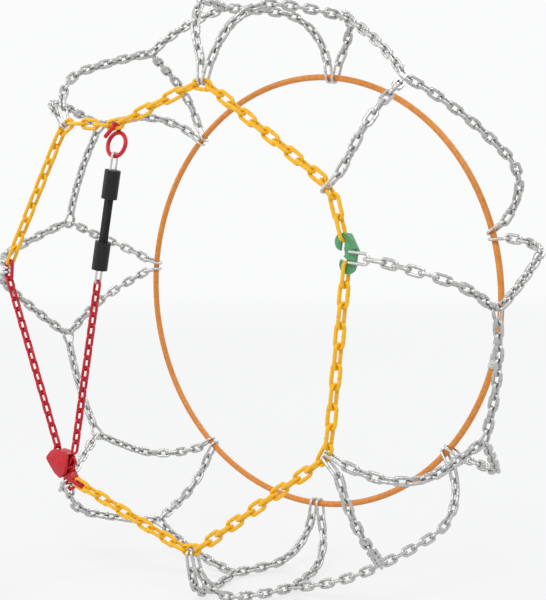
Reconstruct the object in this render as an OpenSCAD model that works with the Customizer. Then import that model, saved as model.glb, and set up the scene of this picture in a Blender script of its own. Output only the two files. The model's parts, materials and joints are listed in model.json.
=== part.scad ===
// Snow chain net, closed and tensioned on a tyre. Origin: wheel centre.
// Y is the wheel axis, the outer side faces -Y and +Z is up.

/* [Tyre it fits] */
// Radius of the tread
tyre_r = 316.5; // [290:0.5:385]
// Half of the tyre's section width
tyre_half_w = 105; // [85:0.5:128]
// Radius of the shoulder between tread and side
shoulder_r = 44; // [34:0.5:54]
// Drop of the tread from its middle to the shoulder
crown_drop = 3; // [2:0.5:4]

/* [Fits] */
// Play between two linked wires
play = 0.4; // [0.3:0.05:0.5]
// Gap between the links and the rubber
rubber_gap = 0.5; // [0.2:0.1:1]
// Running clearance round a pin
pin_clear = 0.05; // [0.03:0.01:0.1]

/* [Side chain] */
// Wire of a side chain link
side_wire = 4; // [3.3:0.1:4.8]
// Spacing of the side chain's links
side_pitch = 19; // [15.8:0.1:22.8]
// Room left inside a link beside the next link's wire
side_room = 1.5; // [1.2:0.1:1.8]

/* [Tread chain] */
// Wire of a tread chain link
tread_wire = 3.4; // [2.8:0.1:4.1]
// Spacing of the tread chain's links
tread_pitch = 12.6; // [10.5:0.1:15.2]
// Room left inside a tread link
tread_room = 1; // [0.8:0.1:1.2]
// Outside length of the pear hooks that hold the tread chain
pear_l = 28; // [23.4:0.5:33.6]
// Centre radius of the wide end of a link where three chains meet
joint_r = 7.5; // [6.8:0.1:9]
// Distance between the two round ends of that link
joint_l = 6; // [5:0.1:7.2]

/* [Tension chain] */
// Wire of a tension chain link
red_wire = 3; // [2.5:0.1:3.6]
// Spacing of the fixed run's links
red_pitch = 12.8; // [10.7:0.1:15.3]
// Room left inside a tension chain link
red_room = 1.6; // [1.3:0.1:1.9]

/* [Tension hook] */
// Wire of the pear shaped hook
hook_wire = 4.6; // [3.9:0.1:5.5]
// Centre radius of the hook's ring
hook_ring_r = 13.1; // [11:0.1:15.7]

/* [Tensioner] */
// Diameter of the two sleeves
sleeve_d = 17.5; // [15:0.5:21]
// Length of each sleeve
sleeve_l = 31.5; // [26.3:0.5:37.8]
// Width of the rubber band
band_w = 10.8; // [9:0.1:12.9]
// Thickness of the rubber band
band_t = 7.2; // [6:0.1:8.6]
// Wire of the hooks in the sleeves' ends
clip_wire = 2.6; // [2.2:0.1:3.1]
// Free length of the upper hook, from the ring to the sleeve
clip_l = 15.3; // [12.8:0.1:18.3]

/* [Closing hook] */
// Thickness of the plate
plate_t = 3.2; // [2.7:0.1:3.8]
// Wire of the loop in the plate
loop_wire = 3.3; // [2.8:0.1:3.9]
// Radius of the claws' throats
throat_r = 2.7; // [2.6:0.05:3.2]

/* [Lock] */
// Thickness of the lock's base plate
base_t = 1.7; // [1.4:0.1:2]
// Thickness of the cover's sheet
cover_t = 1.8; // [1.5:0.1:2.1]
// Rise of the cover's crease above its rim
crease_h = 2.8; // [2.3:0.1:3.4]
// Thickness of the lug that the side chain hooks on
lug_t = 4; // [3.5:0.1:4.6]
// Radius of the pawl's rivet
rivet_r = 1.6; // [1.4:0.05:1.9]

/* [Inner cable] */
// Radius of the cable's ring
cable_r = 250; // [235:1:262]
// Diameter of the sheathed cable
cable_d = 7; // [6:0.1:8.4]

/* [Hidden] */

yellow = "gold";
red = "firebrick";
zinc = "silver";

// Link widths: three wires side by side and the room between them
side_w = 3 * side_wire + side_room;
tread_w = 3 * tread_wire + tread_room;
red_w = 3 * red_wire + red_room;
tread_bend = (tread_w - tread_wire) / 2;
side_bend = (side_w - side_wire) / 2;

// The seat: the surface that the middle of the tread chain lies on
lift = tread_w / 2 + rubber_gap;
flat_half = tyre_half_w - shoulder_r;
shoulder_arc = shoulder_r * PI / 2;
shoulder_centre_r = tyre_r - crown_drop - shoulder_r;
side_y = -(tyre_half_w + side_w / 2 + play);
outward = [0, -1, 0];
course_steps = 40;

// Where the tread chain is hooked on: angle, and how far below the tread
hook_angles = [32.8, 83.6, 132.9, 174.5, 231.4, 271.7, 322.6];
hook_drops = [96, 89, 58, 41, 46, 56, 88];
inner_angles = [16.5, 83.6, 132.9, 174.5, 231.4, 271.7, 318];
// Both ends of each run along the tread: angle, and place across the tread
run_starts = [[45.4, -41], [96.6, 0], [142, 18], [191.2, 20], [239.8, 20], [280, 2], [336.6, -3.5]];
run_ends = [[68.1, -1], [119.9, 10], [165.4, 20], [214.6, 20], [263.2, 14], [301.2, 8], [360.5, -27]];
chains = len(hook_angles);

// Vectors
function unit(v) = v / norm(v);
function at(r, angle) = [r * cos(angle), side_y, r * sin(angle)];
function in_plane(v, n) = v - (v * n) * n;

// The seat's profile: u runs across it, 0 on the middle of the tread, outer side negative
function bend_of(u) = max(0, min(90, (abs(u) - flat_half) / shoulder_r * 180 / PI));
function seat_r(u) =
    abs(u) < flat_half ? tyre_r + lift - crown_drop * pow(u / flat_half, 2)
    : abs(u) < flat_half + shoulder_arc ? shoulder_centre_r + (shoulder_r + lift) * cos(bend_of(u))
    : shoulder_centre_r - (abs(u) - flat_half - shoulder_arc);
function seat_y(u) =
    abs(u) < flat_half ? u : sign(u) * (flat_half + (shoulder_r + lift) * sin(bend_of(u)));
function seat(p) = [seat_r(p[1]) * cos(p[0]), seat_y(p[1]), seat_r(p[1]) * sin(p[0])];
function seat_normal(p) = [
    cos(bend_of(p[1])) * cos(p[0]), sign(p[1]) * sin(bend_of(p[1])), cos(bend_of(p[1])) * sin(p[0])
];
function side_u(r) =
    r < shoulder_centre_r ? flat_half + shoulder_arc + shoulder_centre_r - r
    : flat_half + shoulder_r * acos((r - shoulder_centre_r) / (shoulder_r + lift)) * PI / 180;

// Places along the course from a to b on the seat, from s0 after a to s1 before b
function course_lengths(a, b, i = 1, sum = [0]) =
    i > course_steps ? sum
    : course_lengths(a, b, i + 1, concat(sum, [sum[i - 1]
        + norm(seat(a + (b - a) * i / course_steps) - seat(a + (b - a) * (i - 1) / course_steps))]));
function course_length(a, b) = course_lengths(a, b)[course_steps];
function spaced(a, b, s0, s1, n) =
    let (sums = course_lengths(a, b), total = sums[course_steps],
        table = [for (i = [0 : course_steps]) [sums[i], i / course_steps]])
    [for (i = [0 : n]) a + (b - a) * lookup(s0 + (total - s0 - s1) * i / n, table)];
// Each link stands at a right angle to the next, so a run takes an odd or an even number
function odd_links(length, pitch) = max(1, 2 * round((length / pitch - 1) / 2) + 1);
function even_links(length, pitch) = max(2, 2 * round(length / pitch / 2));

// Puts +X on the line from a to b, with +Z near the normal n, turned by roll about it
module lay(a, b, n, roll = 0) {
    x = unit(b - a);
    y = unit(cross(n, x));
    z = cross(x, y);
    multmatrix([[x.x, y.x, z.x, a.x], [x.y, y.y, z.y, a.y], [x.z, y.z, z.z, a.z], [0, 0, 0, 1]])
        rotate([roll, 0, 0]) children();
}

// Part of a ring of wire round the origin in the XY plane
module bend(r, wire, from, angle) {
    rotate([0, 0, from]) rotate_extrude(angle = angle, $fn = 48) translate([r, 0]) circle(d = wire, $fn = 24);
}

module rod(a, b, d) {
    lay(a, b, abs(unit(b - a).z) > 0.9 ? [1, 0, 0] : [0, 0, 1]) rotate([0, 90, 0])
        cylinder(d = d, h = norm(b - a), $fn = 24);
}

// Closed loop of wire: a round end about the origin and another at distance l along +X
module loop(r, l, wire) {
    bend(r, wire, 90, 180);
    translate([l, 0, 0]) bend(r, wire, -90, 180);
    for (side = [-1, 1]) translate([0, side * r, 0]) rotate([0, 90, 0]) cylinder(d = wire, h = l, $fn = 24);
}

// One link between the middles a and b of its two crowns
module link(a, b, n, roll, wire, width) {
    r = (width - wire) / 2;
    lay(a, b, n, roll) translate([r, 0, 0]) loop(r, norm(b - a) - 2 * r, wire);
}

// Normal of a link's plane, and the way that the two crowns at a joint lie from each other:
// along the link whose plane the chain bends in there
function plane_of(x, n, roll) =
    let (y = unit(cross(n, x))) cos(roll) * cross(x, y) - sin(roll) * y;
function joint_dir(x1, x2, n1, n2) =
    let (axis = cross(x1, x2), w1 = pow(axis * n1, 2), w2 = pow(axis * n2, 2))
    w1 + w2 < 1e-9 ? x1 : unit(w1 * x1 + w2 * x2);

// Links between the contact points pts, each held in the next one's crown
module chain(pts, normals, rolls, wire, width, first = undef, last = undef) {
    top = len(pts) - 1;
    along = [for (i = [1 : top]) unit(pts[i] - pts[i - 1])];
    planes = [for (i = [0 : top - 1]) plane_of(along[i], normals[i], rolls[i])];
    grips = [for (i = [0 : top]) (wire + play) / 2 * (
        i == 0 ? (is_undef(first) ? along[0] : first)
        : i == top ? (is_undef(last) ? along[top - 1] : last)
        : joint_dir(along[i - 1], along[i], planes[i - 1], planes[i]))];
    for (i = [0 : top - 1])
        link(pts[i] - grips[i], pts[i + 1] + grips[i + 1], normals[i], rolls[i], wire, width);
}

// ---- Side chain -------------------------------------------------------------------------------

closing_at = at(tyre_r - 96.3, 15.7);
tension_link_at = at(tyre_r - 102.3, 117.5);
lock_at = at(tyre_r - 49.2, 225.3);
// The closing hook's own axes lie along X and Z
upper_throat = closing_at + [-8.4, 0, 10.2];
lower_throat = closing_at + [-5.1, 0, -10];
hooks = [for (i = [0 : chains - 1]) at(tyre_r - hook_drops[i], hook_angles[i])];

// The lock's axes: p down along the tension chain, q across it, h outward
lock_turn = -52.8;
lock_p = [cos(lock_turn), 0, sin(lock_turn)];
lock_q = [-sin(lock_turn), 0, cos(lock_turn)];
function in_lock(p, q, h = 0) = lock_at + p * lock_p + q * lock_q + h * outward;
lug_pin = in_lock(28.3, 4.9);
bail_at = in_lock(24.6, -8.5);

upper_line = [upper_throat, hooks[0], hooks[1], tension_link_at, hooks[2], hooks[3], in_lock(-18.9, 4.9)];
lower_line = [lower_throat, hooks[6], hooks[5], lug_pin];
function line_turn(line, i) = unit(unit(line[i] - line[i - 1]) + unit(line[i + 1] - line[i]));
function link_start(line, i) = line[i] - line_turn(line, i) * side_pitch / 2;
function link_end(line, i) = line[i] + line_turn(line, i) * side_pitch / 2;
function straight(a, b, n) = [for (i = [0 : n]) a + (b - a) * i / n];

// Straight run of n links from contact point a to b, the first one turned as asked
module side_run(a, b, n, turn, first = undef, last = undef) {
    chain(straight(a, b, n), [for (i = [1 : n]) outward], [for (i = [0 : n - 1]) turn + 90 * i],
        side_wire, side_w, first, last);
}

// The flat link hooked at corner i of a line, and the run from it to the one at corner i + 1
module side_span(line, i) {
    a = link_end(line, i);
    b = link_start(line, i + 1);
    side_run(a, b, odd_links(norm(b - a), side_pitch), 90, line_turn(line, i), line_turn(line, i + 1));
    flat_link(line, i);
}

module flat_link(line, i) {
    side_run(link_start(line, i), link_end(line, i), 1, 0);
}

// Where a run's first link sits in a claw of the closing hook, standing across the plate
function claw_grip(line) = line[0] + unit(link_start(line, 1) - line[0]) * (side_wire + play) / 2;

module side_chain_1() {
    a = claw_grip(upper_line);
    b = link_start(upper_line, 1);
    color(yellow) side_run(a, b, even_links(norm(b - a), side_pitch), 90);
}

// From the standing link that the first pear hook hangs on
module side_chain_2() {
    a = link_end(upper_line, 1);
    b = link_start(upper_line, 2);
    color(yellow) {
        side_run(link_start(upper_line, 1), a, 1, 90, unit(link_start(upper_line, 1) - upper_line[0]),
            unit(b - a));
        side_run(a, b, even_links(norm(b - a), side_pitch), 0, undef, line_turn(upper_line, 2));
    }
}

module side_chain_3() {
    color(yellow) {
        side_span(upper_line, 2);
        side_span(upper_line, 3);
    }
}
module side_chain_4() { color(yellow) side_span(upper_line, 4); }

module side_chain_5() {
    a = claw_grip(lower_line);
    b = link_start(lower_line, 1);
    color(yellow) side_run(a, b, odd_links(norm(b - a), side_pitch), 90, undef, line_turn(lower_line, 1));
}
module side_chain_6() { color(yellow) side_span(lower_line, 1); }

module side_chain_7() {
    a = link_end(lower_line, 2);
    b = lug_pin - unit(lug_pin - a) * (side_wire + play) / 2;
    color(yellow) {
        flat_link(lower_line, 2);
        side_run(a, b, even_links(norm(b - a), side_pitch), 90, line_turn(lower_line, 2));
    }
}

// ---- Tension chain ----------------------------------------------------------------------------

// The chain's way round inside the lock, in the lock's axes
lock_way = [in_lock(-18.9, 4.9), in_lock(-8.5, -3), in_lock(4.4, -4.6), in_lock(12.3, 5.8), in_lock(7.4, 17.8)];

module tension_chain() {
    a = link_end(upper_line, 5);
    b = lock_way[0];
    n = even_links(norm(b - a), red_pitch);
    color(red) {
        flat_link(upper_line, 5);
        chain(concat(straight(a, b, n), [for (i = [1 : 4]) lock_way[i]]), [for (k = [1 : n + 4]) outward],
            [for (k = [1 : n + 4]) 90 * k], red_wire, red_w, line_turn(upper_line, 5));
    }
}

// ---- Tread chain ------------------------------------------------------------------------------

// Pear hooks: the end round the side chain, and the end that holds the first tread link
pear_side_r = side_wire / 2 + tread_wire / 2 + play + 0.4;
pear_cable_r = cable_d / 2 + tread_wire / 2 + play + 0.4;
pear_grip = 0.4;
pear_lean = 0.5;
most_lean = 0.3;
// Two hooks side by side on a link's leg, clear of the next links' crowns
pear_spread = max((tread_wire + play) / 2,
    side_pitch / 2 - (side_wire + play) / 2 - side_wire / 2 - tread_wire / 2 - play);
bail_spread = 3.6;
stand_in = 0.8;
cable_spread = 4.5;
function pear_reach(r) = pear_grip + pear_l - r - tread_wire;

joint_grip = joint_r - (tread_wire + play) / 2;
joint_reach = joint_l + joint_r - (tread_wire + play) / 2;

// Direction of a pear hook from its bar: across the bar, leaning a little the arm's way
function pear_dir(bar, bar_dir, start, end, r) =
    let (way = seat(spaced(start, end, pear_reach(r), 0, 1)[0]) - bar, side = way * bar_dir,
        across = way - side * bar_dir, lean = pear_lean * side / norm(across))
    unit(unit(across) + max(-most_lean, min(most_lean, lean)) * bar_dir);

module pear_hook(bar, dir, r) {
    link(bar + dir * (pear_grip - r), bar + dir * pear_reach(r), cross(dir, [0, 1, 0]), 0, tread_wire,
        2 * r + tread_wire);
}

// An arm from the crown that holds its first link, and points along dir, to the joint link at the
// end of a tread run. Its first link lies flat, or stands if it hangs on a flat loop
module arm(crown, dir, end, stands = false) {
    angle = atan2(crown.z, crown.x);
    start = [angle + 360 * round((end[0] - angle) / 360), sign(crown.y) * side_u(norm([crown.x, crown.z]))];
    near = seat(spaced(start, end, 0, tread_pitch, 1)[1]) - seat(end);
    last = -unit(in_plane(near, seat_normal(end)));
    gone = course_length(start, end) - joint_grip;
    n = stands ? odd_links(gone, tread_pitch) : even_links(gone, tread_pitch);
    roll = stands ? 90 : 0;
    way = spaced(start, end, 0, joint_grip, n);
    normal = seat_normal(start);
    first = unit(unit(in_plane(seat(way[1]) - crown, normal)) * norm(in_plane(dir, normal)) + (dir * normal) * normal);
    pts = [for (i = [0 : n]) i == 0 ? crown - first * (tread_wire + play) / 2
        : i == n ? seat(end) - last * joint_grip : seat(way[i])];
    chain(pts, [for (i = [0 : n - 1]) seat_normal((way[i] + way[i + 1]) / 2)],
        [for (i = [0 : n - 1]) roll + 90 * i],
        tread_wire, tread_w, first, last);
}

// Bars that the outer pear hooks sit on, one for each way along the chain: place and direction
function corner_of(k) = k == 0 ? [upper_line, 1] : k == 1 ? [upper_line, 2] : k == 2 ? [upper_line, 4]
    : k == 3 ? [upper_line, 5] : k == 5 ? [lower_line, 2] : [lower_line, 1];
function bar_dir(k) = k == 4 ? lock_p
    : let (t = line_turn(corner_of(k)[0], corner_of(k)[1]), s = t * [-sin(hook_angles[k]), 0, cos(hook_angles[k])])
    s < 0 ? -t : t;
function bar_out(k) = let (t = bar_dir(k)) [t.z, 0, -t.x];
function bar_mid(k) = k == 4 ? bail_at : k == 0 ? hooks[k] + outward * side_bend - bar_out(k) * stand_in
    : hooks[k] + bar_out(k) * side_bend;
function spread_at(k) = k == 0 ? 0 : k == 4 ? bail_spread : pear_spread;
function bar_at(k, way) = bar_mid(k) + way * spread_at(k) * bar_dir(k);
function run_end(k, way) = way > 0 ? run_starts[k] : k == 0 ? run_ends[chains - 1] - [360, 0] : run_ends[k - 1];
function outer_start(k, way) = let (bar = bar_at(k, way))
    [hook_angles[k] + way * pear_spread / norm(bar) * 180 / PI, -side_u(norm([bar.x, bar.z]))];
function outer_dir(k, way) =
    pear_dir(bar_at(k, way), bar_dir(k), outer_start(k, way), run_end(k, way), pear_side_r);

// The first outer hook point is split: its other arm hangs on the closing hook's loop
function outer_ways(k) = k == 0 ? [1] : [-1, 1];

module outer_arm(k) {
    for (way = outer_ways(k)) {
        dir = outer_dir(k, way);
        arm(bar_at(k, way) + dir * pear_reach(pear_side_r), dir, run_end(k, way));
    }
    if (k == 0) arm(loop_end + 0.8 * outward, loop_dir, run_end(0, -1), true);
}

module outer_pear_hooks() {
    color(zinc) for (k = [0 : chains - 1], way = outer_ways(k))
        pear_hook(bar_at(k, way), outer_dir(k, way), pear_side_r);
}

function cable_angle(k, way) = inner_angles[k] + way * cable_spread / cable_r * 180 / PI;
function cable_at(k, way) = let (a = cable_angle(k, way)) [cable_r * cos(a), cable_y, cable_r * sin(a)];
function inner_start(k, way) = [cable_angle(k, way), side_u(cable_r)];
function inner_dir(k, way) = let (a = cable_angle(k, way))
    pear_dir(cable_at(k, way), [-sin(a), 0, cos(a)], inner_start(k, way), run_end(k, way), pear_cable_r);

module inner_arm(k) {
    for (way = [-1, 1]) {
        dir = inner_dir(k, way);
        arm(cable_at(k, way) + dir * pear_reach(pear_cable_r), dir, run_end(k, way));
    }
}

module inner_pear_hooks() {
    color(zinc) for (k = [0 : chains - 1], way = [-1, 1])
        pear_hook(cable_at(k, way), inner_dir(k, way), pear_cable_r);
}

module outer_arms_1() { color(zinc) outer_arm(0); }
module outer_arms_2() { color(zinc) outer_arm(1); }
module outer_arms_3() { color(zinc) outer_arm(2); }
module outer_arms_4() { color(zinc) outer_arm(3); }
module outer_arms_5() { color(zinc) outer_arm(4); }
module outer_arms_6() { color(zinc) outer_arm(5); }
module outer_arms_7() { color(zinc) outer_arm(6); }
module inner_arms_1() { color(zinc) inner_arm(0); }
module inner_arms_2() { color(zinc) inner_arm(1); }
module inner_arms_3() { color(zinc) inner_arm(2); }
module inner_arms_4() { color(zinc) inner_arm(3); }
module inner_arms_5() { color(zinc) inner_arm(4); }
module inner_arms_6() { color(zinc) inner_arm(5); }
module inner_arms_7() { color(zinc) inner_arm(6); }

// Direction along the tread from the end a of a run, towards its other end b
function run_dir(a, b) = unit(in_plane(seat(a + (b - a) / course_steps) - seat(a), seat_normal(a)));

module tread_run(a, b) {
    n = odd_links(course_length(a, b) - 2 * joint_reach, tread_pitch);
    way = spaced(a, b, joint_reach, joint_reach, n);
    pts = [for (i = [0 : n]) i == 0 ? seat(a) + run_dir(a, b) * joint_reach
        : i == n ? seat(b) + run_dir(b, a) * joint_reach : seat(way[i])];
    chain(pts, [for (i = [0 : n - 1]) seat_normal((way[i] + way[i + 1]) / 2)], [for (i = [1 : n]) 90 * i],
        tread_wire, tread_w);
}

module tread_runs() {
    color(zinc) for (k = [0 : chains - 1]) tread_run(run_starts[k], run_ends[k]);
}

module joint_link(a, b) {
    link(seat(a) + run_dir(a, b) * (joint_l + joint_r), seat(a) - run_dir(a, b) * joint_r, seat_normal(a), 0,
        tread_wire, 2 * joint_r + tread_wire);
}

module joint_links() {
    color(zinc) for (k = [0 : chains - 1]) {
        joint_link(run_starts[k], run_ends[k]);
        joint_link(run_ends[k], run_starts[k]);
    }
}

// ---- Closing hook -----------------------------------------------------------------------------

// The plate is drawn in X and Z round its eye, and stands in the side chain's plane
eye_r = loop_wire / 2 + play;
loop_turn = -5;
loop_r = 5.2;
lower_eye = 2 * loop_r * [sin(loop_turn), -cos(loop_turn)];
rib_w = 2.2;
rib_h = 2.6;
rib_line = [[-1.2, 16.6], [7.2, 2.6]];

module bar_2d(a, b, w) {
    translate(a) rotate(atan2(b.y - a.y, b.x - a.x)) translate([0, -w / 2]) square([norm(b - a), w]);
}

module closing_hook() {
    slot_w = side_wire + play;
    color("mediumseagreen") translate(closing_at) rotate([90, 0, 0]) {
        translate([0, 0, -plate_t / 2]) linear_extrude(plate_t) difference() {
            union() {
                translate([-9.5, 9]) circle(r = 8.7, $fn = 64);
                translate([-3.5, -12.5]) circle(r = 9.3, $fn = 64);
                polygon([[-6, 16.4], [-3, 17.6], [0, 17], [9.2, 1], [6.8, -4.8], [5.8, -13], [-5, -9],
                    [-6.4, -3.6], [-6.6, 6.3]]);
            }
            circle(r = eye_r, $fn = 48);
            translate(lower_eye) circle(r = eye_r, $fn = 48);
            translate([-8.4, 10.2]) circle(r = throat_r, $fn = 48);
            bar_2d([-8.4, 10.2], [-10.2, -4], slot_w);
            translate([-5.1, -10]) circle(r = throat_r, $fn = 48);
            bar_2d([-5.1, -10], [-15, -1.5], slot_w);
        }
        translate([0, 0, plate_t / 2 - 0.2]) linear_extrude(rib_h + 0.2) bar_2d(rib_line[0], rib_line[1], rib_w);
    }
}

// The loop's two legs go through the plate and meet behind it
loop_l = 23;
loop_h = plate_t / 2 + loop_wire / 2 + play;
loop_bend = 1.75;
loop_dir = [cos(loop_turn), 0, sin(loop_turn)];
loop_mid = closing_at + [lower_eye.x, 0, lower_eye.y] / 2;
loop_end = loop_mid + loop_dir * loop_l + loop_h * outward;

module closing_loop() {
    color(zinc) lay(loop_mid, loop_mid + loop_dir, outward) {
        translate([loop_l - loop_r, 0, loop_h]) bend(loop_r, loop_wire, -90, 180);
        for (side = [0, 1]) mirror([0, side, 0]) {
            translate([loop_bend, loop_r, loop_h]) rotate([0, 90, 0])
                cylinder(d = loop_wire, h = loop_l - loop_r - loop_bend, $fn = 24);
            translate([loop_bend, loop_r, loop_h - loop_bend]) rotate([90, 0, 0]) bend(loop_bend, loop_wire, 90, 90);
            translate([0, loop_r, loop_bend - loop_h]) cylinder(d = loop_wire, h = 2 * (loop_h - loop_bend), $fn = 24);
            translate([0, loop_r - loop_bend, loop_bend - loop_h]) rotate([0, 0, 90]) rotate([90, 0, 0])
                bend(loop_bend, loop_wire, -90, 90);
        }
        translate([0, loop_r - loop_bend, -loop_h]) rotate([90, 0, 0])
            cylinder(d = loop_wire, h = 2 * (loop_r - loop_bend), $fn = 24);
    }
}

// ---- Inner cable ------------------------------------------------------------------------------

cable_y = -side_y;
// The cable's two ends meet here
clasp_angle = -12;
clasp_half = 20;
clasp_r = 3.6;
ferrule_d = cable_d + 2.6;

module cable_arc(from, angle, d) {
    translate([0, cable_y, 0]) rotate([90, 0, 0]) rotate([0, 0, from])
        rotate_extrude(angle = angle, $fn = 120) translate([cable_r, 0]) circle(d = d, $fn = 24);
}

module inner_cable() {
    gap = 2 * (clasp_half + 0.35) / cable_r * 180 / PI;
    color("orange") cable_arc(clasp_angle + gap / 2, 360 - gap, cable_d);
}

// Placed at the clasp, +X along the cable and +Z outward from the wheel's centre
module at_clasp() {
    translate([0, cable_y, 0]) rotate([0, 90 - clasp_angle, 0]) translate([0, 0, cable_r]) children();
}

module cable_ends() {
    tongue_l = 11;
    color(zinc) at_clasp() for (side = [0, 1]) mirror([side, 0, 0]) {
        difference() {
            union() {
                translate([clasp_half - 4, 0, -0.8]) rotate([0, 90, 0]) cylinder(d = ferrule_d, h = 4, $fn = 32);
                translate([clasp_half - 4 - tongue_l, -1.2, -5]) cube([tongue_l + 0.5, 2.4, 8.4]);
            }
            translate([clasp_half - 4 - tongue_l + 4.4, 0, -0.8]) rotate([90, 0, 0])
                cylinder(r = 2.4, h = 8, center = true, $fn = 32);
        }
    }
}

// Joining link through the eyes of both ends
module cable_hook() {
    eye = clasp_half - 4 - 11 + 4.4 - 0.5;
    color(zinc) at_clasp() translate([0, 0, -0.8]) rotate([90, 0, 90]) rotate([0, 0, 90])
        translate([0, 0, clasp_r - eye]) rotate([0, -90, 0])
        loop(clasp_r, 2 * (eye - clasp_r), 3);
}

// ---- Lock -------------------------------------------------------------------------------------

// In the lock's axes: X is p, Y is q and Z is h
module in_lock_axes() {
    multmatrix([[lock_p.x, lock_q.x, 0, lock_at.x], [0, 0, -1, lock_at.y],
        [lock_p.z, lock_q.z, 0, lock_at.z], [0, 0, 0, 1]]) children();
}

cover_line = [[-16.8, -1.1], [-16.1, 5.1], [-4.2, 17.1], [3.2, 17.8], [9.3, 12.1], [15.4, 4.5], [15.2, -8.3],
    [6.2, -11.6], [-8.9, -10.9], [-14.1, -9.7]];
crease = [[-10.1, -8.6], [9.6, 6.4]];
base_top = -(red_w / 2 + 0.2);
cover_in = red_w / 2 + 0.5;
cover_rim = base_top + 0.3;
hinge_q = -14.25;
hinge_h = base_top + 2.7;
hinge_r = 1.3;
rivet_at = [-4.5, 8.5];
lug_turn = atan2(0.593, 0.805);
lug_at = [28.3, 4.9];
lug_h = 8;
lug_l = 9.8;
bail_wire = 3.4;
bail_half = 7.2;
bail_p = [24.4 - bail_half, 24.4 + bail_half];
// The bail's right leg turns in under the side chain's link to the foot
bail_turn = [bail_p[1], -0.6, -4.2];

module lock_base() {
    color(red) in_lock_axes() {
        difference() {
            union() {
                translate([0, 0, base_top - base_t]) linear_extrude(base_t)
                    polygon([[-14.5, -2], [-14, 4], [-3.5, 14.8], [2.8, 15.4], [8, 10.5], [15, 6], [25, 6], [25, -3],
                        [15, -7.5], [6, hinge_q - 0.4], [-8, hinge_q - 0.4], [-12, -9]]);
                // Foot under the cover's tip, the lug for the side chain and the bail for the pear hooks
                translate([16.8, -2, base_top - 0.5]) cube([8.2, 8, 0.5 - base_top + lug_h / 2]);
                translate([lug_at.x, lug_at.y, 0]) rotate([0, 0, lug_turn]) {
                    translate([-8, -lug_t / 2, -lug_h / 2]) cube([8 + lug_l, lug_t, lug_h]);
                    translate([lug_l, lug_t / 2, 0]) rotate([90, 0, 0]) cylinder(r = lug_h / 2, h = lug_t, $fn = 48);
                }
                rod([bail_p[0], -8.5, 0], [bail_p[0], -0.5, 0], bail_wire);
                rod([bail_p[1], -8.5, 0], bail_turn + unit(bail_turn - [bail_p[1], -8.5, 0]) * 1.2, bail_wire);
                rod(bail_turn + [1.5, 0, 0], [23.5, bail_turn.y, bail_turn.z], bail_wire);
                rod([bail_p[0], -8.5, 0], [bail_p[1], -8.5, 0], bail_wire);
                for (p = bail_p) translate([p, -8.5, 0]) sphere(d = bail_wire + 0.04, $fn = 32);
                for (p = [-8, 3.6]) translate([p, hinge_q, hinge_h]) rotate([0, 90, 0])
                    cylinder(r = hinge_r + 1.2, h = 2.4, $fn = 32);
                for (p = [-8, 3.6]) translate([p, hinge_q - hinge_r - 1.2, base_top - 0.2])
                    cube([2.4, 2 * hinge_r + 2.4, hinge_h - base_top + 0.2]);
            }
            translate([lug_at.x, lug_at.y, 0]) rotate([0, 0, lug_turn]) translate([0.3, 0, 0]) rotate([90, 0, 0])
                cylinder(r = side_wire / 2 + 0.6, h = 2 * lug_t, center = true, $fn = 32);
            translate([rivet_at.x, rivet_at.y, base_top]) cylinder(r = rivet_r, h = 4 * base_t, center = true, $fn = 32);
            translate([-9, hinge_q, hinge_h]) rotate([0, 90, 0]) cylinder(r = hinge_r, h = 20, $fn = 32);
        }
    }
}

crease_turn = atan2(crease[1].y - crease[0].y, crease[1].x - crease[0].x);
facet_slope = 12;
mouth_h = cover_in - cover_rim;

module lock_cover() {
    color(red) in_lock_axes() {
        difference() {
            translate([0, 0, cover_rim]) linear_extrude(mouth_h + cover_t + crease_h + 1) polygon(cover_line);
            translate([0, 0, cover_rim - 1]) linear_extrude(mouth_h + 1) polygon(cover_line * (1 - cover_t / 12));
            // Two facets fall away from the crease
            for (side = [0, 1]) translate([crease[0].x, crease[0].y, cover_in + cover_t + crease_h])
                rotate([0, 0, crease_turn]) mirror([0, side, 0]) rotate([-facet_slope, 0, 0])
                translate([-40, -1, 0]) cube([100, 50, 20]);
            // Ways in for the tension chain and out for its tail
            translate([-17, 4, cover_rim - 1]) rotate([0, 0, -38]) translate([-8, -6, 0])
                cube([20, 12, mouth_h + 0.7]);
            translate([9, 11, cover_rim - 1]) rotate([0, 0, 112]) translate([-10.5, -6.6, 0])
                cube([26.5, 13.2, mouth_h + 0.7]);
        }
        // Knuckle and pin between the base's two
        translate([-5.3, hinge_q, hinge_h]) rotate([0, 90, 0]) cylinder(r = hinge_r + 1.2, h = 8.6, $fn = 32);
        translate([-4.9, hinge_q, hinge_h - 0.9]) cube([7.8, -9.9 - hinge_q, 1.8]);
        translate([-8, hinge_q, hinge_h]) rotate([0, 90, 0]) cylinder(r = hinge_r - pin_clear, h = 14, $fn = 32);
    }
}

module lock_pawl() {
    color(zinc) in_lock_axes() difference() {
        union() {
            translate([rivet_at.x, rivet_at.y, base_top + 0.3]) cylinder(r = 3.4, h = 7, $fn = 48);
            translate([0, 0, base_top + 0.3]) linear_extrude(7)
                polygon([[-6.5, 6], [2.2, 2.4], [0.6, 8], [-4.5, 11.8]]);
        }
        translate([rivet_at.x, rivet_at.y, 0]) cylinder(r = rivet_r + pin_clear, h = 30, center = true, $fn = 32);
    }
}

module lock_spring() {
    color(zinc) in_lock_axes() {
        translate([rivet_at.x, rivet_at.y, base_top + 8.4]) rotate_extrude($fn = 48) translate([2.7, 0]) circle(d = 1.4, $fn = 24);
        rod([rivet_at.x + 2.7, rivet_at.y, base_top + 8.4], [rivet_at.x + 2.7, rivet_at.y + 4.5, base_top + 8.4], 1.2);
    }
}

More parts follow.
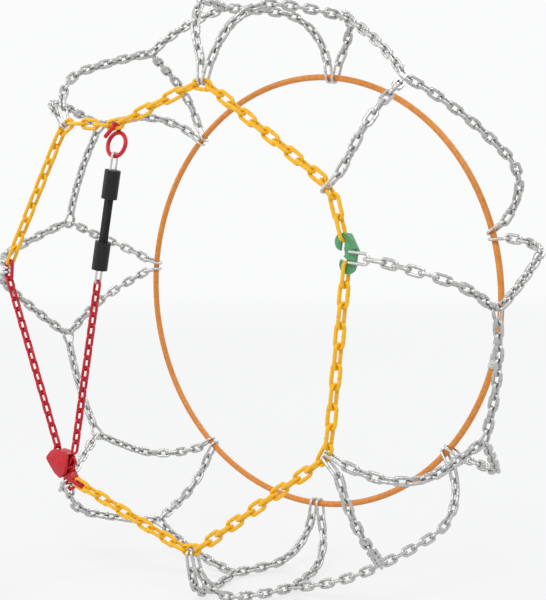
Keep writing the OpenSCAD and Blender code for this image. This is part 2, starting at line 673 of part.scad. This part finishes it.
module lock_rivet() {
    color(zinc) in_lock_axes() translate([rivet_at.x, rivet_at.y, 0]) {
        translate([0, 0, base_top - base_t]) cylinder(r = rivet_r, h = base_t + 9.7, $fn = 32);
        translate([0, 0, base_top + 9.7]) cylinder(r = rivet_r + 1.6, h = 0.7, $fn = 32);
    }
}

// ---- Tension hook -----------------------------------------------------------------------------

tension_dir = line_turn(upper_line, 3);
// The leg of the side chain's link that the hook hangs on
tension_leg = tension_link_at + side_bend * [-tension_dir.z, 0, tension_dir.x] * -sign(tension_dir.x);
hook_bend = side_wire / 2 + hook_wire / 2 + play;
hook_drop = 16.5;
// The hook leans, so that its foot stands clear of the tyre
foot_out = 2;
hook_lean = asin((hook_bend + foot_out) / (hook_drop + hook_ring_r));
ring_foot = tension_leg + [0, hook_bend * cos(hook_lean) - (hook_drop + hook_ring_r) * sin(hook_lean),
    -hook_bend * sin(hook_lean) - (hook_drop + hook_ring_r) * cos(hook_lean)];
hook_tip = [-9, -hook_bend, -9.5];

module tension_hook() {
    corner = hook_wire + 0.04;
    color("red") translate(tension_leg) rotate([-hook_lean, 0, 0]) {
        rotate([0, 90, 0]) rotate([0, 0, 90]) bend(hook_bend, hook_wire, 0, 180);
        translate([0, hook_bend, -hook_drop]) rotate([90, 0, 0]) rotate_extrude($fn = 96)
            translate([hook_ring_r, 0]) circle(d = hook_wire, $fn = 24);
        translate([0, hook_bend, hook_ring_r - hook_drop]) cylinder(d = hook_wire, h = hook_drop - hook_ring_r, $fn = 24);
        rod([0, -hook_bend, 0], hook_tip, hook_wire);
        for (end = [[0, -hook_bend, 0], hook_tip]) translate(end) sphere(d = corner, $fn = 32);
    }
}

// ---- Tensioner --------------------------------------------------------------------------------

tail_end = in_lock(1.3, 24.1);
band_l = 48;
clip_out = 14.2;
tail_links = 16;
// The tensioner hangs from the ring's foot and points at the end of the tail in the lock
pull = unit(tail_end - ring_foot);
tail_top_s = clip_l + 2 * sleeve_l + band_l + clip_out;
tail_top = ring_foot + pull * tail_top_s;
clip_bend = hook_wire / 2 + clip_wire / 2 + play;
clip_in = 8;
socket_l = 12;
// How far the lower sleeve slides up over the band when the tail is let go
slack = 9;
band_clear = 0.1;

// +X down the tensioner's axis from the ring's foot, +Z outward
module on_pull() {
    lay(ring_foot, tail_top, outward) children();
}

module upper_clip() {
    color(zinc) on_pull() rotate([90, 0, 0]) {
        bend(clip_bend, clip_wire, 90, 180);
        for (side = [-1, 1]) rod([0, side * clip_bend, 0], [clip_l + clip_in, side * clip_bend, 0], clip_wire);
    }
}

module sleeve_body(from) {
    translate([from, 0, 0]) rotate([0, 90, 0]) cylinder(d = sleeve_d, h = sleeve_l, $fn = 48);
}

module band_shape(extra, l) {
    spread = (band_w - band_t) / 2;
    for (side = [-1, 1]) translate([0, side * spread, 0]) rotate([0, 90, 0])
        cylinder(d = band_t + 2 * extra, h = l, $fn = 48);
    translate([0, -spread, -band_t / 2 - extra]) cube([l, 2 * spread, band_t + 2 * extra]);
}

band_from = clip_l + sleeve_l;

module upper_sleeve() {
    color("dimgray") on_pull() difference() {
        sleeve_body(clip_l);
        translate([band_from - socket_l, 0, 0]) band_shape(band_clear, socket_l + 1);
        for (side = [-1, 1]) translate([clip_l - 1, 0, side * clip_bend]) rotate([0, 90, 0])
            cylinder(d = clip_wire, h = clip_in + 1, $fn = 24);
    }
}

module rubber_band() {
    color("black") on_pull() translate([band_from - socket_l + 1, 0, 0]) band_shape(0, band_l + 2 * socket_l - 2);
}

module lower_sleeve() {
    from = band_from + band_l;
    color("dimgray") on_pull() difference() {
        sleeve_body(from);
        translate([from - 1, 0, 0]) band_shape(band_clear, socket_l + slack + 1);
        for (side = [-1, 1]) translate([from + sleeve_l - clip_in, 0, side * low_clip_bend]) rotate([0, 90, 0])
            cylinder(d = clip_wire, h = clip_in + 1, $fn = 24);
    }
}

low_clip_bend = red_wire / 2 + clip_wire / 2 + play + 0.5;

module lower_clip() {
    crown = tail_top_s + clip_wire / 2 + play / 2;
    from = band_from + band_l + sleeve_l - clip_in;
    color(zinc) on_pull() rotate([90, 0, 0]) {
        translate([crown - low_clip_bend, 0, 0]) bend(low_clip_bend, clip_wire, -90, 180);
        for (side = [-1, 1]) rod([from, side * low_clip_bend, 0], [crown - low_clip_bend, side * low_clip_bend, 0], clip_wire);
    }
}

module tail_link(i) {
    pitch = norm(tail_end - tail_top) / tail_links;
    color(red) link(tail_top + pull * (pitch * (i - 1) - (red_wire + play) / 2),
        tail_top + pull * (pitch * i + (red_wire + play) / 2), outward, i % 2 == 1 ? 0 : 90, red_wire, red_w);
}

side_chain_1();
side_chain_2();
side_chain_3();
side_chain_4();
side_chain_5();
side_chain_6();
side_chain_7();
tension_chain();
outer_arms_1();
outer_arms_2();
outer_arms_3();
outer_arms_4();
outer_arms_5();
outer_arms_6();
outer_arms_7();
inner_arms_1();
inner_arms_2();
inner_arms_3();
inner_arms_4();
inner_arms_5();
inner_arms_6();
inner_arms_7();
tread_runs();
joint_links();
outer_pear_hooks();
inner_pear_hooks();
closing_hook();
closing_loop();
inner_cable();
cable_ends();
cable_hook();
lock_base();
lock_cover();
lock_pawl();
lock_spring();
lock_rivet();
tension_hook();
upper_clip();
upper_sleeve();
rubber_band();
lower_sleeve();
lower_clip();
tail_link(1);  // tail_link_1
tail_link(2);  // tail_link_2
tail_link(3);  // tail_link_3
tail_link(4);  // tail_link_4
tail_link(5);  // tail_link_5
tail_link(6);  // tail_link_6
tail_link(7);  // tail_link_7
tail_link(8);  // tail_link_8
tail_link(9);  // tail_link_9
tail_link(10);  // tail_link_10
tail_link(11);  // tail_link_11
tail_link(12);  // tail_link_12
tail_link(13);  // tail_link_13
tail_link(14);  // tail_link_14
tail_link(15);  // tail_link_15
tail_link(16);  // tail_link_16
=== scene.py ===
import json
import math
import bpy
import numpy as np
from mathutils import Matrix, Vector

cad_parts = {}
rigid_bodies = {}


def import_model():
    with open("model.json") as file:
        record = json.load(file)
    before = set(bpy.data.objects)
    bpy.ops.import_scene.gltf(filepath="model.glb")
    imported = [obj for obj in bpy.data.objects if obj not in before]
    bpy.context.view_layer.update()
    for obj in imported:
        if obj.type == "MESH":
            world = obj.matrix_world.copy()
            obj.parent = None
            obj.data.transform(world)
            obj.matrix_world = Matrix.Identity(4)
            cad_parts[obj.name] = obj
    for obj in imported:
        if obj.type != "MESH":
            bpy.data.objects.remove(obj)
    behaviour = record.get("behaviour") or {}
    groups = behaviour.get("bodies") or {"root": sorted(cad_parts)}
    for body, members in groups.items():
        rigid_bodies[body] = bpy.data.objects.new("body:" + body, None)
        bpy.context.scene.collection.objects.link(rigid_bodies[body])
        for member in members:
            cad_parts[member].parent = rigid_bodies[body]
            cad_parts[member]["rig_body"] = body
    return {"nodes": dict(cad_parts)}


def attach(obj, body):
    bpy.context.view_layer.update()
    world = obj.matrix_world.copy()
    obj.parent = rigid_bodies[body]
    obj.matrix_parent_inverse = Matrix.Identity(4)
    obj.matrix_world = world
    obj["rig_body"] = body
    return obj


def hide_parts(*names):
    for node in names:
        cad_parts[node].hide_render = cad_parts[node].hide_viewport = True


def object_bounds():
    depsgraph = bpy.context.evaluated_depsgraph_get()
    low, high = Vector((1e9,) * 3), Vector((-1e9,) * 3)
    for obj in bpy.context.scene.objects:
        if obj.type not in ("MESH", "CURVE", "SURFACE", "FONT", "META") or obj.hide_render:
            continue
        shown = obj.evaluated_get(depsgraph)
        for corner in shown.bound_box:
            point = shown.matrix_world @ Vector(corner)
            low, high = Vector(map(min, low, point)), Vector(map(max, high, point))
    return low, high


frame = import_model()
cad_box = [list(corner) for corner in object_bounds()]

# ---- Camera, lamps and floor ----
# A long lens at hub height, a little outward of the wheel's side. The floor is pale, and the
# lamps are large and soft.
camera = bpy.data.objects.new("camera", bpy.data.cameras.new("camera"))
bpy.context.scene.collection.objects.link(camera)
bpy.context.scene.camera = camera
camera.data.sensor_width = 36
camera.data.lens = 82.4
camera.data.clip_start, camera.data.clip_end = 0.05, 60
camera_place = (0.95828, -1.18242, 0.10888)
right = Vector((0.78642, 0.6177, 0))
up = Vector((-0.04512, 0.05745, 0.99733))
ahead = Vector((-0.61605, 0.78432, -0.07305))
turned = Matrix((right, up, -ahead)).transposed().to_4x4()
camera.matrix_world = Matrix.Translation(camera_place) @ turned

floor_z = cad_box[0][2] - 0.0005
floor_side = 60
backdrop = (0.96, 0.963, 0.966, 1)
# Share of the backdrop's own glow in the floor: at the chains, and where it meets the sky
near_glow, far_glow = 0.72, 1
fade_from, fade_to = 0.6, 5


def seen_directly(tree):
    """1 where the camera, a reflection or a refraction looks at the floor or the sky."""
    rays = tree.nodes.new("ShaderNodeLightPath")
    total = rays.outputs["Is Camera Ray"]
    for name in ("Is Glossy Ray", "Is Transmission Ray"):
        most = tree.nodes.new("ShaderNodeMath")
        most.operation = "MAXIMUM"
        tree.links.new(total, most.inputs[0])
        tree.links.new(rays.outputs[name], most.inputs[1])
        total = most.outputs[0]
    return total


bpy.ops.mesh.primitive_plane_add(size=floor_side, location=(0, 0, floor_z))
floor = bpy.context.object
floor.name = "floor"
paper = bpy.data.materials.new("pale_floor")
paper.use_nodes = True
tree = paper.node_tree
surface = tree.nodes["Principled BSDF"]
surface.inputs["Base Color"].default_value = (0.8, 0.8, 0.8, 1)
surface.inputs["Roughness"].default_value = 0.9
place, reach, fade, share, glow, blend = (
    tree.nodes.new(f"ShaderNode{kind}")
    for kind in ("NewGeometry", "VectorMath", "MapRange", "Math", "Emission", "MixShader"))
glow.inputs["Color"].default_value = backdrop
# The floor fades into the sky with distance from the chains
reach.operation = "LENGTH"
for socket, value in (
    ("From Min", fade_from), ("From Max", fade_to), ("To Min", near_glow), ("To Max", far_glow),
):
    fade.inputs[socket].default_value = value
tree.links.new(place.outputs["Position"], reach.inputs[0])
tree.links.new(reach.outputs["Value"], fade.inputs["Value"])
share.operation = "MULTIPLY"
tree.links.new(fade.outputs[0], share.inputs[1])
tree.links.new(seen_directly(tree), share.inputs[0])
tree.links.new(share.outputs[0], blend.inputs["Fac"])
tree.links.new(surface.outputs[0], blend.inputs[1])
tree.links.new(glow.outputs[0], blend.inputs[2])
tree.links.new(blend.outputs[0], tree.nodes["Material Output"].inputs["Surface"])
floor.data.materials.append(paper)

world = bpy.data.worlds.new("studio")
bpy.context.scene.world = world
world.use_nodes = True
tree = world.node_tree
light = tree.nodes["Background"]
sky, blend = (tree.nodes.new(f"ShaderNode{kind}") for kind in ("Background", "MixShader"))
sky.inputs["Color"].default_value = backdrop
light.inputs["Color"].default_value = (0.95, 0.96, 1, 1)
light.inputs["Strength"].default_value = 0.6
tree.links.new(seen_directly(tree), blend.inputs["Fac"])
tree.links.new(light.outputs[0], blend.inputs[1])
tree.links.new(sky.outputs[0], blend.inputs[2])
tree.links.new(blend.outputs[0], tree.nodes["World Output"].inputs["Surface"])

for name, place, size, watts in (
    ("key", (1.3, -2.6, 2.4), 1.6, 52),
    ("fill", (-2.6, -1.8, 1.2), 2.2, 26),
    ("rim", (0.4, 2.4, 2.6), 1.8, 36),
):
    lamp = bpy.data.objects.new(name, bpy.data.lights.new(name, "AREA"))
    bpy.context.scene.collection.objects.link(lamp)
    lamp.data.shape, lamp.data.size, lamp.data.energy = "DISK", size, watts
    lamp.location = place
    lamp.rotation_euler = (-Vector(place)).to_track_quat("-Z", "Y").to_euler()
bpy.context.scene.view_settings.view_transform = "Standard"

# ---- Tread chain ----
# Case hardened links of square, round-edged wire, zinc plated, each bent to an oval and butt
# welded in the middle of one leg. Three chains meet at each pear shaped joint link.


class Field:
    """A value that varies over a surface; adding or multiplying it adds its Math nodes."""

    def __init__(self, finish, socket):
        self.finish, self.socket = finish, socket

    def reckon(self, operation, *others):
        return self.finish.add("ShaderNodeMath", {"operation": operation}, dict(enumerate(others)))

    def __add__(self, other): return self.reckon("ADD", self, other)
    def __radd__(self, other): return self.reckon("ADD", other, self)
    def __sub__(self, other): return self.reckon("SUBTRACT", self, other)
    def __rsub__(self, other): return self.reckon("SUBTRACT", other, self)
    def __mul__(self, other): return self.reckon("MULTIPLY", self, other)
    def __rmul__(self, other): return self.reckon("MULTIPLY", other, self)

    def ramp(self, low, high):
        """0 below low, 1 above high, and a smooth rise between them."""
        return self.finish.add("ShaderNodeMapRange", {"interpolation_type": "SMOOTHSTEP"},
                               {"Value": self, "From Min": low, "From Max": high})


class Finish:
    """A Principled material built from Field values."""

    @staticmethod
    def socket_name(word):
        return word.replace("_", " ").title().replace("Ior", "IOR")

    def __init__(self, name, **constants):
        self.material = bpy.data.materials.new(name)
        self.material.use_nodes = True
        self.tree = self.material.node_tree
        self.shader = self.tree.nodes["Principled BSDF"]
        for socket, value in constants.items():
            self.shader.inputs[self.socket_name(socket)].default_value = value
        self.place = self.add("ShaderNodeTexCoord", {}, {}, "Object")

    def add(self, kind, settings, inputs, output=0):
        node = self.tree.nodes.new(kind)
        for key, value in settings.items():
            setattr(node, key, value)
        for key, value in inputs.items():
            if isinstance(value, Field):
                self.tree.links.new(value.socket, node.inputs[key])
            else:
                node.inputs[key].default_value = value
        return Field(self, node.outputs[output])

    def noise(self, scale, detail=3, roughness=0.55):
        return self.add("ShaderNodeTexNoise", {}, {
            "Vector": self.place, "Scale": scale, "Detail": detail, "Roughness": roughness})

    def marked(self, name):
        """A value that the mesh stores on its points."""
        return self.add("ShaderNodeAttribute", {"attribute_name": name}, {}, "Fac")

    def mix(self, amount, a, b):
        """Colour a, or b where amount is 1; the numbers are the colour sockets of the node."""
        a, b = (c if isinstance(c, Field) else (*c, 1) for c in (a, b))
        return self.add("ShaderNodeMix", {"data_type": "RGBA"}, {0: amount, 6: a, 7: b}, 2)

    def feed(self, **fields):
        for socket, value in fields.items():
            self.tree.links.new(value.socket, self.shader.inputs[self.socket_name(socket)])
        return self

    def bump(self, height, strength, distance):
        return self.feed(normal=self.add("ShaderNodeBump", {}, {
            "Height": height, "Strength": strength, "Distance": distance}))


def islands(node):
    """Points of each separate solid of a CAD node."""
    mesh = frame["nodes"][node].data
    points = np.empty(len(mesh.vertices) * 3)
    mesh.vertices.foreach_get("co", points)
    spots, index = np.unique(points.reshape(-1, 3).round(7), axis=0, return_inverse=True)
    edges = np.empty(len(mesh.edges) * 2, int)
    mesh.edges.foreach_get("vertices", edges)
    a, b = index.reshape(-1)[edges.reshape(-1, 2)].T
    label = np.arange(len(spots))
    while True:
        low = np.minimum(label[a], label[b])
        new = label.copy()
        np.minimum.at(new, a, low)
        np.minimum.at(new, b, low)
        new = new[new]
        if (new == label).all():
            break
        label = new
    return [spots[label == name] for name in np.unique(label)]


def link_frame(points):
    """Middle, axes and sizes of an oval link: along it, across it, and through its wire."""
    _, axes = np.linalg.eigh(np.cov(points.T))
    axes = axes.T[::-1]
    if np.linalg.det(axes) < 0:
        axes[2] = -axes[2]
    local = points @ axes.T
    low, high = local.min(0), local.max(0)
    return ((low + high) / 2) @ axes, axes, high - low


def oval(length, r_near, r_far, steps):
    """Closed centreline of a link along X with its outward directions, evenly stepped."""
    far, near = length / 2 - r_far, r_near - length / 2
    lean = math.asin((r_far - r_near) / (far - near))
    bends = []
    for x, r, start, end in ((far, r_far, -math.pi / 2 - lean, math.pi / 2 + lean),
                             (near, r_near, math.pi / 2 + lean, 3 * math.pi / 2 - lean)):
        angles = np.linspace(start, end, steps)
        out = np.c_[np.cos(angles), np.sin(angles)]
        bends.append((out * r + (x, 0), out))
    share = np.linspace(0, 1, steps + 2)[1:-1, None]
    line, outward = [], []
    for (bend, out), (other, _) in (bends, bends[::-1]):
        line += [bend, bend[-1] + (other[0] - bend[-1]) * share]
        outward += [out, np.repeat(out[-1:], steps, 0)]
    return np.vstack(line), np.vstack(outward)


# A wire's section: 2 is round, more is squarer
square_wire = 3.2
round_wire = 2.0
section_points = 14
# Points along each bend and each leg
leg_points = 14
weld_rise = 0.1
weld_half = 0.0011
weld_astray = 0.0006
weld_ripple = 0.02


def link_mesh(centre, axes, size, squareness, seed, r_near=None, flip=False):
    """Points, faces and wear of one welded link the size of the CAD's."""
    wire = size[2]
    r_far = (size[1] - wire) / 2
    r_near = r_far if r_near is None else r_near
    line, out = oval(size[0] - wire, r_near, r_far, leg_points)
    if flip:
        line, out = line * (-1, 1), out * (-1, 1)
    angle = np.linspace(0, 2 * math.pi, section_points, endpoint=False) + math.pi / section_points
    cos, sin = np.cos(angle), np.sin(angle)
    reach = (abs(cos) ** squareness + abs(sin) ** squareness) ** (-1 / squareness) * wire / 2
    rng = np.random.default_rng(seed)
    side = 1 if rng.random() < 0.5 else -1
    middle = (line[:, 1] * side > 0) & (abs(line[:, 0]) < size[0] / 4)
    off = line[:, 0] - rng.uniform(-1, 1) * weld_astray
    weld = np.where(middle, np.exp(-(off / weld_half) ** 2), 0)
    swell = 1 + weld_rise * weld + rng.normal(0, weld_ripple, len(line)) * (weld > 0.2)
    radial = line[:, None, :] + out[:, None, :] * (reach * cos)[None, :, None] * swell[:, None, None]
    height = (reach * sin)[None, :] * swell[:, None]
    points = radial[..., :1] * axes[0] + radial[..., 1:] * axes[1] + height[..., None] * axes[2] + centre
    crown = np.clip((abs(line[:, 0]) - (size[0] / 2 - wire - r_far * 0.9)) / (r_far + wire), 0, 1)
    wear = crown[:, None] * (0.35 + 0.65 * np.clip(-cos, 0, 1))[None, :]
    n, k = len(line), section_points
    i, j = np.meshgrid(np.arange(n), np.arange(k), indexing="ij")
    here, onward, beside = i * k, (i + 1) % n * k, (j + 1) % k
    faces = np.stack([here + j, here + beside, onward + beside, onward + j], -1).reshape(-1, 4)
    if np.dot(np.cross(axes[0], axes[1]), axes[2]) * (-1 if flip else 1) > 0:
        faces = faces[:, ::-1]
    return points.reshape(-1, 3), faces, wear.reshape(-1), np.repeat(weld, k)


def chain_piece(name, nodes, material, squareness, seed, links=None):
    """All links of some CAD nodes as one piece that stands for them."""
    spots, faces, wears, welds = [], [], [], []
    start = 0
    solids = [s for node in nodes for s in islands(node)] if links is None else links
    for number, solid in enumerate(solids):
        extra = {}
        if isinstance(solid, tuple):
            solid, extra = solid
        p, f, w, weld = link_mesh(*link_frame(solid), squareness, seed + number, **extra)
        spots.append(p)
        faces.append(f + start)
        wears.append(w)
        welds.append(weld)
        start += len(p)
    mesh = bpy.data.meshes.new(name)
    spots, faces = np.vstack(spots), np.vstack(faces)
    mesh.vertices.add(len(spots))
    mesh.vertices.foreach_set("co", spots.ravel())
    mesh.loops.add(faces.size)
    mesh.loops.foreach_set("vertex_index", faces.ravel().astype(np.int32))
    mesh.polygons.add(len(faces))
    mesh.polygons.foreach_set("loop_start", np.arange(0, faces.size, 4, dtype=np.int32))
    mesh.polygons.foreach_set("use_smooth", np.ones(len(faces), bool))
    mesh.update()
    for mark, values in (("wear", wears), ("weld", welds)):
        stored = mesh.attributes.new(mark, "FLOAT", "POINT")
        stored.data.foreach_set("value", np.concatenate(values).astype(np.float32))
    mesh.materials.append(material)
    piece = bpy.data.objects.new(name, mesh)
    bpy.context.scene.collection.objects.link(piece)
    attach(piece, frame["nodes"][nodes[0]]["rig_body"])
    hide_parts(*nodes)
    return piece


def zinc_finish(name, bright):
    """Zinc plate: satin grey metal, a little cloudy, duller in the weld and rubbed at the crowns."""
    f = Finish(name, metallic=0.92)
    cloud = f.noise(420, 4)
    grain = f.noise(2600, 2)
    rubbed = (f.marked("wear") * (0.5 + cloud)).ramp(0.45, 0.8)
    weld = f.marked("weld")
    base = f.mix(cloud.ramp(0.3, 0.7), tuple(c * 0.82 for c in bright), bright)
    base = f.mix(weld * 0.55, base, (0.34, 0.33, 0.32))
    base = f.mix(rubbed * 0.6, base, (0.8, 0.8, 0.8))
    f.feed(base_color=base, roughness=0.24 + 0.2 * cloud + 0.2 * weld - 0.08 * rubbed)
    f.bump(grain * 0.5 + cloud, 0.25, 0.0002)
    return f.material


zinc = zinc_finish("zinc_plate", (0.56, 0.56, 0.55))
for number in range(1, 8):
    for side in ("outer", "inner"):
        node = f"{side}_arms_{number}"
        chain_piece(f"{side}_tread_chain_{number}", [node], zinc, square_wire, seed=100 * number)
chain_piece("tread_middle_chain", ["tread_runs"], zinc, square_wire, seed=900)

joint_small_r = 0.0039
run_middles = np.array([link_frame(s)[0] for s in islands("tread_runs")])


def pear_turned(solid):
    """A joint link with its small end towards the run of chain along the tread."""
    centre, axes, size = link_frame(solid)
    ends = [centre + sign * axes[0] * size[0] / 2 for sign in (1, -1)]
    near = [np.linalg.norm(run_middles - end, axis=1).min() for end in ends]
    return solid, {"r_near": joint_small_r, "flip": near[0] < near[1]}


chain_piece("tread_joint_links", ["joint_links"], zinc, 2.6, seed=950,
            links=[pear_turned(s) for s in islands("joint_links")])

# ---- Pear hooks ----
# Smooth round wire bent to a long oval and closed, that hangs each pair of tread chains on the
# side chain and, behind the tyre, on the cable.
for side in ("outer", "inner"):
    hook_zinc = zinc_finish(f"{side}_hook_zinc", (0.62, 0.62, 0.61))
    chain_piece(f"{side}_pear_hooks", [f"{side}_pear_hooks"], hook_zinc, round_wire, seed=40)

# ---- Side chain ----
# Heavier links in yellow powder coat, rubbed through to steel where links bear on each other.


def coat_finish(name, colour, dark, gloss, chips, metal=(0.55, 0.54, 0.52)):
    """Coated steel: an even coat with a faint orange peel, worn through on the crowns."""
    f = Finish(name, coat_weight=0.12, coat_roughness=0.2, specular_ior_level=0.35)
    cloud = f.noise(300, 3)
    fine = f.noise(1500, 4, 0.7)
    bare = (f.marked("wear") * 0.75 + (fine - 0.5) * 1.3).ramp(chips, chips + 0.06)
    base = f.mix(cloud.ramp(0.35, 0.75) * 0.5, colour, dark)
    base = f.mix(f.marked("weld") * 0.35, base, dark)
    f.feed(base_color=f.mix(bare, base, metal), metallic=bare * 0.85,
           roughness=gloss + 0.12 * cloud + bare * 0.12)
    f.bump(fine * 0.35 + (1 - bare) * 0.6, 0.14, 0.0002)
    return f.material


yellow = coat_finish("yellow_powder_coat", (0.92, 0.5, 0.002), (0.74, 0.34, 0.001), gloss=0.3, chips=0.66)
for number in range(1, 8):
    chain_piece(f"yellow_side_chain_{number}", [f"side_chain_{number}"], yellow, 2.1,
                seed=1000 * number)

# ---- Tension chain and tail ----
# Light red links. The first is as heavy as the side chain's; the tail comes out of the lock and
# goes up to the tensioner, each of its links free to swing on the last.
red = coat_finish("red_coat", (0.56, 0.003, 0.016), (0.34, 0.001, 0.008), gloss=0.34, chips=0.74,
                  metal=(0.5, 0.4, 0.38))
red_section = 2.4
chain_piece("red_tension_chain", ["tension_chain"], red, red_section, seed=3000)
for number in range(1, 17):
    chain_piece(f"red_tail_link_{number}", [f"tail_link_{number}"], red, red_section,
                seed=3100 + number)

# ---- Closing hook and its loop ----
# A stamped steel plate in light green coat with two claws that hold the side chain's ends. A
# bent wire staple through its eyes carries the first tread chain.


def eased(name, node, material, edge=0, segments=3, angle=32):
    """A CAD node's own shape with its sharp edges rounded."""
    mesh = frame["nodes"][node].data.copy()
    mesh.materials.clear()
    mesh.materials.append(material)
    piece = bpy.data.objects.new(name, mesh)
    bpy.context.scene.collection.objects.link(piece)
    weld = piece.modifiers.new("weld", "WELD")
    weld.merge_threshold = 1e-6
    if edge:
        bevel = piece.modifiers.new("edges", "BEVEL")
        bevel.width, bevel.segments = edge, segments
        bevel.limit_method, bevel.angle_limit = "ANGLE", math.radians(angle)
        bevel.use_clamp_overlap = True
        bevel.harden_normals = False
    for face in mesh.polygons:
        face.use_smooth = True
    smooth = piece.modifiers.new("smooth", "EDGE_SPLIT")
    smooth.split_angle = math.radians(40)
    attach(piece, frame["nodes"][node]["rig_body"])
    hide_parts(node)
    return piece


def plate_finish(name, colour, dark, gloss):
    """Coated plate: cloudier than the links, chipped through in a few specks."""
    f = Finish(name, coat_weight=0.12, coat_roughness=0.22, specular_ior_level=0.35)
    cloud = f.noise(160, 4)
    fine = f.noise(900, 4, 0.7)
    worn = fine.ramp(0.66, 0.72)
    base = f.mix(cloud.ramp(0.35, 0.7) * 0.6, colour, dark)
    f.feed(base_color=f.mix(worn * 0.7, base, (0.5, 0.5, 0.48)), metallic=worn * 0.5,
           roughness=gloss + 0.15 * cloud)
    f.bump(fine * 0.4 + cloud * 0.4, 0.25, 0.0003)
    return f.material


green = plate_finish("green_coat", (0.1, 0.34, 0.15), (0.05, 0.23, 0.09), gloss=0.3)
eased("green_closing_hook", "closing_hook", green, edge=0.0005)
plain_zinc = zinc_finish("bright_zinc", (0.64, 0.64, 0.63))
eased("closing_hook_loop", "closing_loop", plain_zinc)

# ---- Inner cable ----
# A steel cable in an orange plastic sheath behind the tyre, its ends crimped in zinc plated
# ferrules that a short link joins.
sheath = Finish("orange_sheath", coat_weight=0.1)
strand = sheath.noise(260, 3)
sheath.feed(base_color=sheath.mix(strand.ramp(0.3, 0.7), (0.62, 0.2, 0.02), (0.74, 0.27, 0.03)),
            roughness=0.38 + 0.2 * strand)
sheath.bump(strand, 0.2, 0.0004)
eased("orange_inner_cable", "inner_cable", sheath.material)
eased("cable_end_ferrules", "cable_ends", plain_zinc, edge=0.0006)
eased("cable_joining_link", "cable_hook", plain_zinc)

# ---- Lock ----
# A red pressed cover over a base plate. Inside, a sprung pawl on a rivet holds the tension
# chain; a lug and a bar at its foot take the side chain and the tread chain.
lock_red = plate_finish("red_lock_coat", (0.56, 0.001, 0.012), (0.4, 0.001, 0.008), gloss=0.32)
eased("red_lock_base", "lock_base", lock_red, edge=0.0004)
eased("red_lock_cover", "lock_cover", lock_red, edge=0.0007, segments=4, angle=20)
for node, edge in (("lock_pawl", 0.0003), ("lock_spring", 0), ("lock_rivet", 0.0003)):
    eased(f"{node}_zinc", node, plain_zinc, edge)

# ---- Tension hook ----
# One red coated wire bent to a ring below and a hook above, that hangs on the side chain.
hook_red = plate_finish("red_hook_coat", (0.6, 0.003, 0.016), (0.42, 0.001, 0.01), gloss=0.26)
eased("red_tension_hook", "tension_hook", hook_red)

# ---- Tensioner ----
# A black rubber band moulded into two black sleeves, with a zinc plated wire hook in the far
# end of each.
moulded = Finish("black_moulded_plastic", specular_ior_level=0.3)
pebble = moulded.noise(1400, 3)
moulded.feed(base_color=moulded.mix(pebble.ramp(0.3, 0.7), (0.006, 0.006, 0.007), (0.012, 0.012, 0.013)),
             roughness=0.38 + 0.2 * pebble)
moulded.bump(pebble, 0.3, 0.0002)
for node in ("upper_sleeve", "lower_sleeve"):
    eased(f"black_{node}", node, moulded.material, edge=0.0012, segments=4, angle=50)
band = Finish("black_rubber", specular_ior_level=0.25)
bloom = band.noise(500, 4)
band.feed(base_color=band.mix(bloom.ramp(0.35, 0.75), (0.004, 0.004, 0.0045), (0.013, 0.013, 0.014)),
          roughness=0.42 + 0.25 * bloom)
band.bump(bloom, 0.35, 0.0003)
eased("black_rubber_band", "rubber_band", band.material, edge=0.0003)
for node in ("upper_clip", "lower_clip"):
    eased(f"{node}_wire", node, plain_zinc)
